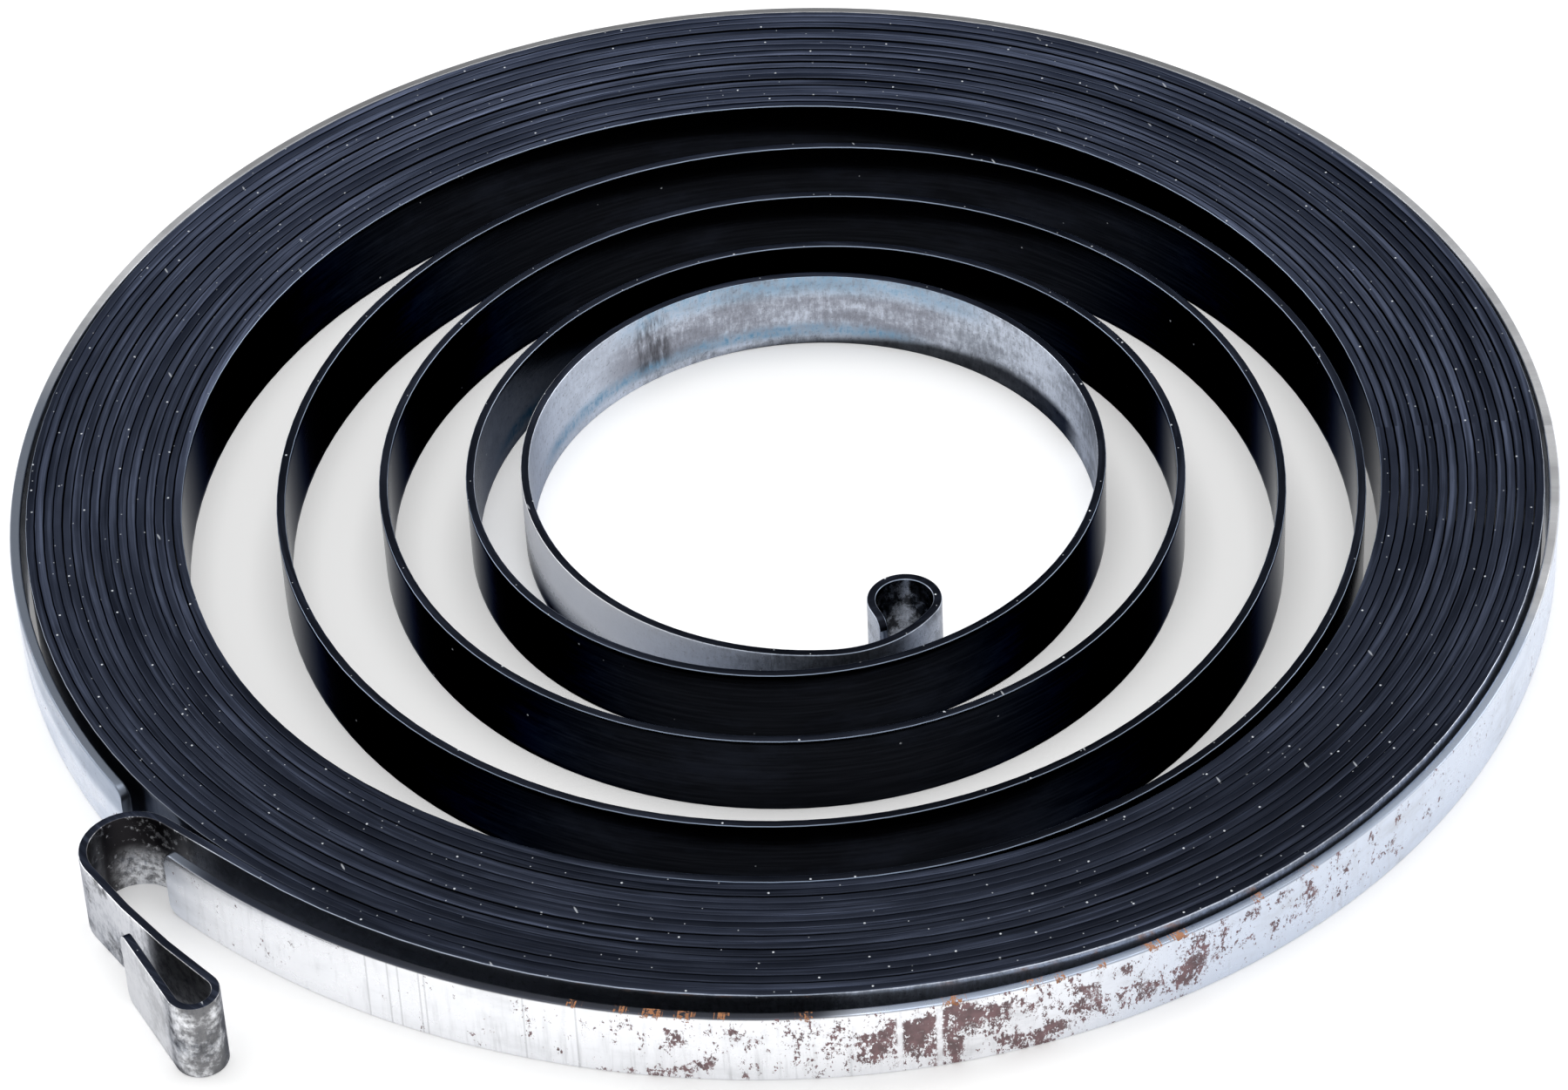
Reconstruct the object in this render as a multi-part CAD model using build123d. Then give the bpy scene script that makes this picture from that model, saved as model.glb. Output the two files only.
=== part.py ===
from build123d import *
from math import cos, radians, sin
import os

# Spring strip
strip_width = 4.7
strip_thickness = 0.4
strip_corner_radius = 0.6

# Tight turns, wound inwards and anticlockwise seen from above, in short flats
tight_turns = 17
tight_radius = 40.2
turn_pitch = 0.5
flat_angle = 5.0
start_place = (-27.07, -29.46)
start_heading = -40.5

# The turns are pressed in beside the hook: a flat stretch with a sharper shoulder at each side
press_angle = 55.0
shoulder_angle = 30.0
shoulder_drop = 2.8

# Loose turns inside the tight ones: bend radius of each quarter, starting from the front
loose_turns = (
    (30.1, 28.8, 28.2, 26.8),
    (26.0, 24.5, 22.9, 21.5),
    (20.7, 19.2, 18.4, 16.6),
    (16.9, 15.4, 15.2, 15.7),
)

# Inner end: the strip leaves the last turn and rolls into a small curl
knee_radius = 6.4
knee_angle = 56.5
curl_radius = 1.72
curl_angle = 235.0
curl_tail = 1.2

# Outer hook, from the coil out to the free end
hook_run = 5.9
hook_bend_radius = 2.4
hook_bend_angle = 163.0
hook_leg_radius = 51.0
hook_leg_angle = 11.5
loop_radius = 1.12
loop_angle = 196.0
loop_return = 5.5

# Split ring round the coil
ring_outer_radius = 41.0
ring_thickness = 0.55
ring_width = 4.2
ring_corner_radius = 0.6
ring_open_radius = 44.7
ring_open_angle = 38.0
ring_join_angle = 262.0
ring_end_angle = 214.0

full_turn = 360.0


def follow(start, heading, steps, shift=0.0):
    """Edges through a run of steps, each a length or bend radius with the angle it turns.

    An angle of zero is a straight step, and a positive angle turns left.
    The shift sets the whole line to the left of its path.
    """
    side = radians(heading + 90)
    place = Vector(*start) + Vector(cos(side), sin(side)) * shift
    direction = Vector(1, 0).rotate(Axis.Z, heading)
    edges = []
    for size, angle in steps:
        if angle == 0:
            edge = Line(place, place + direction * size)
        else:
            radius = size - shift if angle > 0 else size + shift
            edge = JernArc(place, direction, radius, angle)
        edges.append(edge)
        place = edge @ 1
        direction = edge % 1
    return edges


def flats(edge, angle):
    """Short straight lines that stand in for a bend, with their ends on it."""
    count = round(abs(angle) / flat_angle)
    corners = [edge @ (number / count) for number in range(count + 1)]
    return [Line(first, second) for first, second in zip(corners, corners[1:])]


def wind(shift):
    """One side of the winding: the tight turns in flats, then the smooth loose turns."""
    tight = tight_steps()
    bends = follow(start_place, start_heading, tight, shift)
    edges = []
    for edge, step in zip(bends, tight):
        edges += flats(edge, step[1])
    end = edges[-1] @ 1
    inward = Vector(0, 1)
    centre_line_end = end - inward * shift
    return edges + follow((centre_line_end.X, centre_line_end.Y), 0.0, loose_steps(), shift)


def cap(first, second):
    """Short line across the strip between the free ends of its two sides."""
    return Line(first[-1] @ 1, second[-1] @ 1)


def round_end(solid, place, radius):
    """Round the upper and lower corner of the strip's end nearest to the place."""
    end_face = solid.faces().sort_by_distance(place)[0]
    return fillet(end_face.edges().filter_by(Plane.XY), radius)


def tight_steps():
    """Bends of the tight turns, whose radius falls evenly as the strip winds in."""
    half_press = radians(press_angle / 2)
    shoulder = radians(shoulder_angle)
    flat_rise = shoulder_drop * (sin(half_press + shoulder) / sin(half_press) - 1)
    free_half = (full_turn - press_angle - 2 * shoulder_angle) / 2
    turn = (
        (flat_rise, press_angle),
        (-shoulder_drop, shoulder_angle),
        (0.0, free_half),
        (0.0, free_half),
        (-shoulder_drop, shoulder_angle),
    )
    steps = []
    turned = 0.0
    for extra, angle in turn * tight_turns + ((flat_rise, -start_heading),):
        fall = turn_pitch * (turned + angle / 2) / full_turn
        steps.append((tight_radius - fall + extra, angle))
        turned += angle
    return steps


def loose_steps():
    """Quarter bends of the loose turns and the rolled inner end."""
    steps = [(radius, 90) for turn in loose_turns for radius in turn]
    steps.append((knee_radius, knee_angle))
    steps.append((curl_radius, curl_angle))
    steps.append((curl_tail, 0))
    return steps


def hook_steps():
    """Outer hook: a run along the coil, a wide bend back, a leg and a closed loop."""
    return [
        (hook_run, 0),
        (hook_bend_radius, hook_bend_angle),
        (hook_leg_radius, hook_leg_angle),
        (loop_radius, -loop_angle),
        (loop_return, 0),
    ]


def spring_strip():
    """The whole spring as one strip standing on its edge."""
    half = strip_thickness / 2
    inner_side = wind(half)
    outer_side = wind(-half)
    hook = hook_steps()
    hook_heading = start_heading + 180
    hook_inner = follow(start_place, hook_heading, hook, -half)
    hook_outer = follow(start_place, hook_heading, hook, half)
    curl_cap = cap(inner_side, outer_side)
    hook_cap = cap(hook_inner, hook_outer)
    outline = inner_side + outer_side + hook_inner + hook_outer + [curl_cap, hook_cap]
    strip = extrude(make_face(outline), strip_width)
    middle = Vector(0, 0, strip_width / 2)
    for end in (curl_cap, hook_cap):
        strip = round_end(strip, end @ 0.5 + middle, strip_corner_radius)
    return strip


def retaining_ring():
    """Split ring that opens a little at the end the hook goes round."""
    half = ring_thickness / 2
    radius = ring_outer_radius - half
    open_radius = ring_open_radius - half
    join = radians(ring_join_angle)
    opening = radians(ring_join_angle - ring_open_angle)
    start = (
        (radius - open_radius) * cos(join) + open_radius * cos(opening),
        (radius - open_radius) * sin(join) + open_radius * sin(opening),
    )
    heading = ring_join_angle - ring_open_angle + 90
    steps = [
        (open_radius, ring_open_angle),
        (radius, full_turn + ring_end_angle - ring_join_angle),
    ]
    inner_side = follow(start, heading, steps, half)
    outer_side = follow(start, heading, steps, -half)
    start_cap = Line(inner_side[0] @ 0, outer_side[0] @ 0)
    end_cap = cap(inner_side, outer_side)
    ring = extrude(make_face(inner_side + outer_side + [start_cap, end_cap]), ring_width)
    middle = Vector(0, 0, ring_width / 2)
    for end in (start_cap, end_cap):
        ring = round_end(ring, end @ 0.5 + middle, ring_corner_radius)
    return ring


os.makedirs("parts", exist_ok=True)
export_step(spring_strip(), "parts/spring_strip.step")
export_step(retaining_ring(), "parts/retaining_ring.step")
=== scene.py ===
"""Flat spiral return spring in its split retaining ring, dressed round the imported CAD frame."""

import math
from types import SimpleNamespace

import bpy
import numpy as np
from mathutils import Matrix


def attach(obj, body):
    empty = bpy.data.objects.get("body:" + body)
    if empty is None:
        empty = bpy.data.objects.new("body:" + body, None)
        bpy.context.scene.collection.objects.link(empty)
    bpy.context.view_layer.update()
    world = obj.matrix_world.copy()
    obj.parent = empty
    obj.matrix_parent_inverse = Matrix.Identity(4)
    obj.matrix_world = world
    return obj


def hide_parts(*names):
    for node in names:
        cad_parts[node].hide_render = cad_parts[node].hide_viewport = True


bl_info = {
    "name": "Return Spring",
    "version": (1, 0, 0),
    "blender": (4, 5, 0),
    "location": "View3D > Sidebar > Spring",
    "description": "Builds a flat spiral return spring, its retaining ring and a plain stage",
    "category": "Add Mesh",
}

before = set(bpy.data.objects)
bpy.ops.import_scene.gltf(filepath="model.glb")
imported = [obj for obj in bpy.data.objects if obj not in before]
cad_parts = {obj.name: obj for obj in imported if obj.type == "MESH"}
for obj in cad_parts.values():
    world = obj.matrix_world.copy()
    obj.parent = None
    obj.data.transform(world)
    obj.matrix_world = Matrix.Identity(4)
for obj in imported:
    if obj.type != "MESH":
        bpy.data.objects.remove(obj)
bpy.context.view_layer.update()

MM = 0.001
FULL_TURN = 2 * math.pi
QUARTER_TURN = math.pi / 2

# How finely the surfaces are cut
COIL_STEP = math.radians(3.2)
HOOK_STEP = math.radians(9.0)
RING_STEP = math.radians(1.5)
LONGEST_PART = 4 * MM
FEWEST_PARTS = 2
CORNER_POINTS = 5
END_STATIONS = 8
STATION_DIGITS = 9
FLANK_INSET = 0.06

# How the tight turns stray from their line: sizes, and where that fades in and out in millimetres
LEAN = 0.014 * MM
DIP = 0.09 * MM
STRAY_IN = (60, 120)
STRAY_OUT = (640, 740)

# Softboxes: name, place in metres, side and the setting that holds its brightness
SOFTBOXES = (
    ("overhead", (0.0, 0.05, 0.60), 0.45, "overhead"),
    ("left", (-0.55, 0.20, 0.35), 0.40, "sides"),
    ("right", (0.55, 0.20, 0.35), 0.40, "sides"),
)
SENSOR_WIDTH = 36.0
NEAR_CLIP = 0.01


# Sizes and colours

class StripSizes(bpy.types.PropertyGroup):
    """Sizes of the spring's strip, its turns, its hook and its curl."""

    width: bpy.props.FloatProperty(
        name="Width", description="Height of the strip on its edge",
        default=4.7 * MM, unit="LENGTH")
    thickness: bpy.props.FloatProperty(
        name="Thickness", description="Thickness of the strip",
        default=0.455 * MM, unit="LENGTH")
    edge_radius: bpy.props.FloatProperty(
        name="Edge radius", description="Rounding of the strip's long edges",
        default=0.06 * MM, unit="LENGTH")
    corner_radius: bpy.props.FloatProperty(
        name="Corner radius", description="Rounding of the corners at both ends",
        default=0.6 * MM, unit="LENGTH")
    start: bpy.props.FloatVectorProperty(
        name="Hook root", description="Where the hook leaves the coil", size=2,
        default=(-27.07 * MM, -29.46 * MM), unit="LENGTH")
    heading: bpy.props.FloatProperty(
        name="Heading", description="Direction of the winding at the hook root",
        default=math.radians(-40.5), subtype="ANGLE")
    tight_turns: bpy.props.IntProperty(
        name="Tight turns", description="Turns that lie against each other", default=17, min=1)
    tight_radius: bpy.props.FloatProperty(
        name="Outer radius", description="Radius of the outermost turn",
        default=40.2 * MM, unit="LENGTH")
    pitch: bpy.props.FloatProperty(
        name="Pitch", description="Distance between tight turns", default=0.5 * MM, unit="LENGTH")
    press_angle: bpy.props.FloatProperty(
        name="Pressed stretch", description="Angle of the flatter stretch beside the hook",
        default=math.radians(55.0), subtype="ANGLE")
    shoulder_angle: bpy.props.FloatProperty(
        name="Shoulder", description="Angle of the sharper bend at each side of that stretch",
        default=math.radians(30.0), subtype="ANGLE")
    shoulder_drop: bpy.props.FloatProperty(
        name="Shoulder drop", description="How much smaller the shoulder's bend radius is",
        default=2.8 * MM, unit="LENGTH")
    loose_radii: bpy.props.FloatVectorProperty(
        name="Loose bends", description="Bend radius of each quarter of the loose turns", size=16,
        default=[radius * MM for radius in (
            30.1, 28.8, 28.2, 26.8, 26.0, 24.5, 22.9, 21.5,
            20.7, 19.2, 18.4, 16.6, 16.9, 15.4, 15.2, 15.7)],
        unit="LENGTH")
    knee_radius: bpy.props.FloatProperty(
        name="Knee radius", description="Bend that leads into the curl",
        default=6.4 * MM, unit="LENGTH")
    knee_angle: bpy.props.FloatProperty(
        name="Knee angle", description="Turn of that bend",
        default=math.radians(56.5), subtype="ANGLE")
    curl_radius: bpy.props.FloatProperty(
        name="Curl radius", description="Bend radius of the inner curl",
        default=1.72 * MM, unit="LENGTH")
    curl_angle: bpy.props.FloatProperty(
        name="Curl angle", description="Turn of the inner curl",
        default=math.radians(235.0), subtype="ANGLE")
    curl_tail: bpy.props.FloatProperty(
        name="Curl tail", description="Straight end of the curl", default=1.2 * MM, unit="LENGTH")
    hook_run: bpy.props.FloatProperty(
        name="Hook run", description="Straight run from the coil to the hook",
        default=5.9 * MM, unit="LENGTH")
    hook_bend: bpy.props.FloatProperty(
        name="Hook bend", description="Radius of the hook's wide bend",
        default=2.4 * MM, unit="LENGTH")
    hook_angle: bpy.props.FloatProperty(
        name="Hook angle", description="Turn of the wide bend",
        default=math.radians(163.0), subtype="ANGLE")
    leg_radius: bpy.props.FloatProperty(
        name="Leg radius", description="Slight bow of the hook's leg",
        default=51.0 * MM, unit="LENGTH")
    leg_angle: bpy.props.FloatProperty(
        name="Leg angle", description="Turn of the leg",
        default=math.radians(11.5), subtype="ANGLE")
    loop_radius: bpy.props.FloatProperty(
        name="Loop radius", description="Radius of the folded loop",
        default=1.12 * MM, unit="LENGTH")
    loop_angle: bpy.props.FloatProperty(
        name="Loop angle", description="Turn of the folded loop",
        default=math.radians(196.0), subtype="ANGLE")
    loop_return: bpy.props.FloatProperty(
        name="Loop return", description="Straight end after the loop",
        default=5.5 * MM, unit="LENGTH")


class RingSizes(bpy.types.PropertyGroup):
    """Sizes of the split ring that holds the coil."""

    radius: bpy.props.FloatProperty(
        name="Radius", description="Outer radius of the ring, inside the CAD box",
        default=40.988 * MM, unit="LENGTH")
    thickness: bpy.props.FloatProperty(
        name="Thickness", description="Thickness of the ring's sheet",
        default=0.55 * MM, unit="LENGTH")
    width: bpy.props.FloatProperty(
        name="Width", description="Height of the ring", default=4.2 * MM, unit="LENGTH")
    edge_radius: bpy.props.FloatProperty(
        name="Edge radius", description="Rounding of the ring's long edges",
        default=0.12 * MM, unit="LENGTH")
    corner_radius: bpy.props.FloatProperty(
        name="Corner radius", description="Rounding of the corners at both ends",
        default=0.6 * MM, unit="LENGTH")
    open_radius: bpy.props.FloatProperty(
        name="Open radius", description="Wider bend beside the hook",
        default=44.7 * MM, unit="LENGTH")
    open_angle: bpy.props.FloatProperty(
        name="Open angle", description="Turn of the wider bend",
        default=math.radians(38.0), subtype="ANGLE")
    join_angle: bpy.props.FloatProperty(
        name="Join", description="Where the wider bend meets the round part",
        default=math.radians(262.0), subtype="ANGLE")
    end_angle: bpy.props.FloatProperty(
        name="End", description="Where the round part ends",
        default=math.radians(214.0), subtype="ANGLE")


class Finishes(bpy.types.PropertyGroup):
    """Colours of the spring's and the ring's steel, as linear values."""

    edge_blue: bpy.props.FloatVectorProperty(
        name="Strip edges", description="Blued upper edges of the turns",
        size=3, subtype="COLOR", min=0, max=1, default=(0.0155, 0.0185, 0.0280))
    face_black: bpy.props.FloatVectorProperty(
        name="Strip faces", description="Oiled black faces of the turns",
        size=3, subtype="COLOR", min=0, max=1, default=(0.0045, 0.005, 0.0065))
    # Painted highlight colour for the strip's rounded corners; on the ring it is painted shade on
    # the rim and a painted reflection on the opened end.
    glint_blue: bpy.props.FloatVectorProperty(
        name="Edge glint", description="Worn blue steel on the free rounded edges",
        size=3, subtype="COLOR", min=0, max=1, default=(0.24, 0.29, 0.38))
    face_bright: bpy.props.FloatVectorProperty(
        name="Bright faces", description="Brushed steel of the innermost turn and the hook",
        size=3, subtype="COLOR", min=0, max=1, default=(0.60, 0.65, 0.75))
    heat_blue: bpy.props.FloatVectorProperty(
        name="Heat blue", description="Temper colour along the innermost turn",
        size=3, subtype="COLOR", min=0, max=1, default=(0.13, 0.28, 0.42))
    heat_rose: bpy.props.FloatVectorProperty(
        name="Heat rose", description="Faint rosy temper colour of the innermost turn",
        size=3, subtype="COLOR", min=0, max=1, default=(0.20, 0.20, 0.235))
    # Dark colour of the pits, the stain and the scale on the hook, also laid inside the hook's bend
    # and loop.
    heat_brown: bpy.props.FloatVectorProperty(
        name="Heat brown", description="Dark scale inside the hook's bends",
        size=3, subtype="COLOR", min=0, max=1, default=(0.036, 0.034, 0.037))
    ring_bright: bpy.props.FloatVectorProperty(
        name="Ring", description="Polished steel of the ring",
        size=3, subtype="COLOR", min=0, max=1, default=(0.90, 0.91, 0.94))
    shadow_blue: bpy.props.FloatVectorProperty(
        name="Ring in shade", description="Colour of the ring's face towards the right",
        size=3, subtype="COLOR", min=0, max=1, default=(0.56, 0.63, 0.76))
    rust: bpy.props.FloatVectorProperty(
        name="Rust", description="Dark rust on the ring",
        size=3, subtype="COLOR", min=0, max=1, default=(0.125, 0.062, 0.066))
    fresh_rust: bpy.props.FloatVectorProperty(
        name="Fresh rust", description="Orange rust specks",
        size=3, subtype="COLOR", min=0, max=1, default=(0.42, 0.18, 0.075))
    dust: bpy.props.FloatVectorProperty(
        name="Dust", description="Pale dust on the oily edges",
        size=3, subtype="COLOR", min=0, max=1, default=(0.55, 0.58, 0.62))


class StageSizes(bpy.types.PropertyGroup):
    """The floor, the lights and the camera."""

    floor_size: bpy.props.FloatProperty(
        name="Floor", description="Side of the square floor", default=6.0, unit="LENGTH")
    floor_colour: bpy.props.FloatVectorProperty(
        name="Floor colour", description="Matt paper of the floor",
        size=3, subtype="COLOR", min=0, max=1, default=(0.86, 0.86, 0.86))
    floor_lift: bpy.props.FloatProperty(
        name="Floor lift", description="Light added where the floor is seen", default=0.22, min=0)
    ambient: bpy.props.FloatProperty(
        name="Ambient", description="Brightness of the studio for soft light", default=0.55, min=0)
    overhead: bpy.props.FloatProperty(
        name="Overhead", description="Brightness of the lamp above", default=2.6, min=0)
    sides: bpy.props.FloatProperty(
        name="Sides", description="Brightness of the two side lamps", default=2.2, min=0)
    lens: bpy.props.FloatProperty(
        name="Lens", description="Focal length of the camera in millimetres",
        default=132.36, min=1)
    distance: bpy.props.FloatProperty(
        name="Distance", description="From the camera to its target",
        default=307.5 * MM, unit="LENGTH")
    elevation: bpy.props.FloatProperty(
        name="Elevation", description="Height of the camera above the floor as an angle",
        default=math.radians(41.24), subtype="ANGLE")
    roll: bpy.props.FloatProperty(
        name="Roll", description="Turn of the camera about its line of sight",
        default=math.radians(-2.80), subtype="ANGLE")
    target: bpy.props.FloatVectorProperty(
        name="Target", description="Point of the floor in the middle of the picture", size=2,
        default=(-0.12 * MM, -1.83 * MM), unit="LENGTH")


# Surfaces

def stations(start, heading, steps, part):
    """Points, headings and lengths along a chain of tangent steps, each a length and a turn.

    Every step is cut into equal parts that turn no further than part. A part's chord is its length
    times the sine of half its turn over half its turn, laid down at the heading halfway through it,
    and the points are the running sum of the chords.
    """
    lengths, turns = np.array(steps, float).T
    counts = np.maximum(np.ceil(np.abs(turns) / part), FEWEST_PARTS).astype(int)
    counts = np.maximum(counts, np.ceil(lengths / LONGEST_PART).astype(int))
    lengths = np.repeat(lengths / counts, counts)
    turns = np.repeat(turns / counts, counts)
    headings = heading + np.concatenate(([0.0], np.cumsum(turns)))
    middle = headings[:-1] + turns / 2
    chords = lengths * np.sinc(turns / FULL_TURN)
    moves = np.stack([chords * np.cos(middle), chords * np.sin(middle)], axis=1)
    points = np.array(start, float) + np.concatenate((np.zeros((1, 2)), np.cumsum(moves, axis=0)))
    return points, headings, np.concatenate(([0.0], np.cumsum(lengths)))


def reverse(points, headings, along):
    """The same stations walked from their far end."""
    return points[::-1], headings[::-1] + math.pi, along[-1] - along[::-1]


def join(first, second):
    """Two runs of stations where the second starts at the first one's last station."""
    points = np.concatenate((first[0], second[0][1:]))
    headings = np.concatenate((first[1], second[1][1:]))
    along = np.concatenate((first[2], first[2][-1] + second[2][1:]))
    return points, headings, along


def add_end_stations(run, radius):
    """Extra stations close to both ends, so that the rounded corners have points to follow.

    They stand at the radius times one less the cosine of even angles over a quarter turn.
    """
    points, headings, along = run
    near = radius * (1 - np.cos(np.linspace(0.0, QUARTER_TURN, END_STATIONS)))
    extra = np.concatenate((near, along[-1] - near))
    every = np.unique(np.round(np.concatenate((along, extra)), STATION_DIGITS))
    place = np.stack([np.interp(every, along, points[:, k]) for k in range(2)], axis=1)
    return place, np.interp(every, along, headings), every


def rounded_section(thickness, width, radius):
    """Closed outline of a flat bar with rounded edges, anticlockwise: across, up and facing.

    Each corner is a quarter circle about its centre, the centre plus the radius times the cosine
    and the sine. Each flat side gets two points more, a little way in from its corners. Facing is
    the angle at which a point looks outwards, nought towards the left of the strip's travel.
    """
    corner = np.linspace(0.0, QUARTER_TURN, CORNER_POINTS)
    half, top = thickness / 2 - radius, width - radius
    centres = np.array([(half, top), (-half, top), (-half, radius), (half, radius)])
    across, up, facing = [], [], []
    for quarter, (x, z) in enumerate(centres):
        angle = corner + quarter * QUARTER_TURN
        across.append(x + radius * np.cos(angle))
        up.append(z + radius * np.sin(angle))
        facing.append(angle)
    across, up, facing = (np.concatenate(part) for part in (across, up, facing))
    upper = 2 * CORNER_POINTS
    heights = [top - FLANK_INSET * width, radius + FLANK_INSET * width]
    side = thickness / 2
    across = np.concatenate((across[:upper], [-side] * 2, across[upper:], [side] * 2))
    up = np.concatenate((up[:upper], heights, up[upper:], heights[::-1]))
    facing = np.concatenate((facing[:upper], [math.pi] * 2, facing[upper:], [FULL_TURN] * 2))
    return across, up, facing


def fade(lengths, low, high):
    """Straight rise from nought at low to one at high."""
    return np.clip((lengths - low) / (high - low), 0, 1)


def sway(length, reach, swing=0.0, swing_reach=1.0, phase=0.0):
    """Sine of the length over its reach, with a phase that swings with a slower sine."""
    return np.sin(length / reach + swing * np.sin(length / swing_reach) + phase)


def stray(along, headings):
    """How far each station of a tight turn leans sideways, and how far its upper edge dips.

    Both are sums of slow sines of the length along the strip, whose periods share no factor with a
    turn, and both fade out in the hook and in the loose turns.
    """
    length = along / MM
    turned = (headings - headings[0]) / FULL_TURN
    tight = fade(length, *STRAY_IN) * fade(along[-1] / MM - length, *STRAY_OUT)
    lean = 0.6 * sway(length, 19, 2, 47) + 0.4 * sway(length, 7.3, phase=turned)
    dip = 0.5 + 0.5 * sway(length, 31, 3, 83, turned * 2.4)
    return LEAN * lean * tight, DIP * dip * tight


def bar_points(along, points, headings, sizes, shift, dip):
    """Grid of points of a flat bar on its edge, one row for each station, and what they face.

    A point is its station plus the section's across value along the station's left side, at the
    section's height. Near each end the height shrinks by the radius minus the root of the radius
    squared less the square of what is missing to the radius, which rounds the corners.
    """
    across, up, facing = rounded_section(sizes.thickness, sizes.width, sizes.edge_radius)
    left = np.stack([-np.sin(headings), np.cos(headings)], axis=1)
    flat = points[:, None, :] + left[:, None, :] * (across[None, :, None] + shift[:, None, None])
    radius = sizes.corner_radius
    missing = np.clip(radius - np.minimum(along, along[-1] - along), 0, None)
    shrink = radius - np.sqrt(np.clip(radius ** 2 - missing ** 2, 0, None))
    share = np.clip(up / sizes.width, 0, 1) * 2 - 1
    height = up[None, :] - shrink[:, None] * np.sign(share)[None, :]
    height -= dip[:, None] * (share > 0)[None, :]
    return np.concatenate((flat, height[:, :, None]), axis=2), facing


def bar_faces(rows, columns):
    """Corners and first corners of the faces: quads round the bar, then a cap at each end."""
    first = np.arange(rows - 1)[:, None] * columns
    here = np.arange(columns)[None, :]
    after = (here + 1) % columns
    beyond = first + columns
    quads = np.stack([first + here, first + after, beyond + after, beyond + here], axis=2)
    caps = np.stack([here[0, ::-1], (rows - 1) * columns + here[0]])
    loops = np.concatenate((quads.ravel(), caps.ravel()))
    starts = np.concatenate((np.arange(quads.size // 4) * 4, quads.size + np.arange(2) * columns))
    return loops, starts


def bar_mesh(name, run, sizes, loosely=False):
    """A flat bar carried along the stations, loosely wound or true to its line, as a new object.

    Its points carry the length along the bar and what is left to its end in millimetres, and the
    cosine and sine of the way they face.
    """
    points, headings, along = add_end_stations(run, sizes.corner_radius)
    still = np.zeros_like(along)
    shift, dip = stray(along, headings) if loosely else (still, still)
    grid, facing = bar_points(along, points, headings, sizes, shift, dip)
    rows, columns = grid.shape[:2]
    loops, starts = bar_faces(rows, columns)

    mesh = bpy.data.meshes.new(name)
    mesh.vertices.add(rows * columns)
    mesh.vertices.foreach_set("co", grid.ravel())
    mesh.loops.add(len(loops))
    mesh.loops.foreach_set("vertex_index", loops)
    mesh.polygons.add(len(starts))
    mesh.polygons.foreach_set("loop_start", starts)
    mesh.update(calc_edges=True)
    mesh.validate()
    smooth = np.ones(len(mesh.polygons), bool)
    smooth[-2:] = False
    mesh.polygons.foreach_set("use_smooth", smooth)

    values = {
        "along": np.repeat(along / MM, columns),
        "to_end": np.repeat((along[-1] - along) / MM, columns),
        "inward": np.tile(np.cos(facing), rows),
        "upward": np.tile(np.sin(facing), rows),
    }
    for key, value in values.items():
        layer = mesh.attributes.new(key, "FLOAT", "POINT")
        layer.data.foreach_set("value", value.astype(np.float32))
    piece = bpy.data.objects.new(name, mesh)
    bpy.context.scene.collection.objects.link(piece)
    return piece


def spring_run(sizes):
    """Stations of the whole strip, from the loop at the hook's end to the curl in the middle.

    The radius of a tight bend is the outermost radius less the pitch times the turns so far, and
    more in the pressed stretch and less in the shoulders, so that each turn closes on the next.
    """
    half_press = sizes.press_angle / 2
    shoulder = sizes.shoulder_angle
    rise = sizes.shoulder_drop * (math.sin(half_press + shoulder) / math.sin(half_press) - 1)
    free = (FULL_TURN - sizes.press_angle - 2 * shoulder) / 2
    turn = [(rise, sizes.press_angle), (-sizes.shoulder_drop, shoulder), (0.0, free), (0.0, free),
            (-sizes.shoulder_drop, shoulder)]
    bends = np.array(turn * sizes.tight_turns + [(rise, -sizes.heading)])
    turned = np.cumsum(bends[:, 1]) - bends[:, 1] / 2
    radii = sizes.tight_radius - sizes.pitch * turned / FULL_TURN + bends[:, 0]
    radii = np.concatenate((radii, sizes.loose_radii, [sizes.knee_radius, sizes.curl_radius]))
    quarters = [QUARTER_TURN] * len(sizes.loose_radii)
    turns = np.concatenate((bends[:, 1], quarters, [sizes.knee_angle, sizes.curl_angle]))
    winding = list(zip(radii * turns, turns)) + [(sizes.curl_tail, 0.0)]
    hook = [
        (sizes.hook_run, 0.0),
        (sizes.hook_bend * sizes.hook_angle, sizes.hook_angle),
        (sizes.leg_radius * sizes.leg_angle, sizes.leg_angle),
        (sizes.loop_radius * sizes.loop_angle, -sizes.loop_angle),
        (sizes.loop_return, 0.0),
    ]
    coil = stations(sizes.start, sizes.heading, winding, COIL_STEP)
    outer = stations(sizes.start, sizes.heading + math.pi, hook, HOOK_STEP)
    return join(reverse(*outer), coil)


def ring_run(sizes):
    """Stations of the split ring, from its opened end beside the hook round to its other end."""
    radius = sizes.radius - sizes.thickness / 2
    wide = sizes.open_radius - sizes.thickness / 2
    opening = sizes.join_angle - sizes.open_angle
    start = [(radius - wide) * side(sizes.join_angle) + wide * side(opening)
             for side in (math.cos, math.sin)]
    round_part = FULL_TURN + sizes.end_angle - sizes.join_angle
    steps = [(wide * sizes.open_angle, sizes.open_angle), (radius * round_part, round_part)]
    return stations(start, opening + QUARTER_TURN, steps, RING_STEP)


# Shader maths

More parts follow.
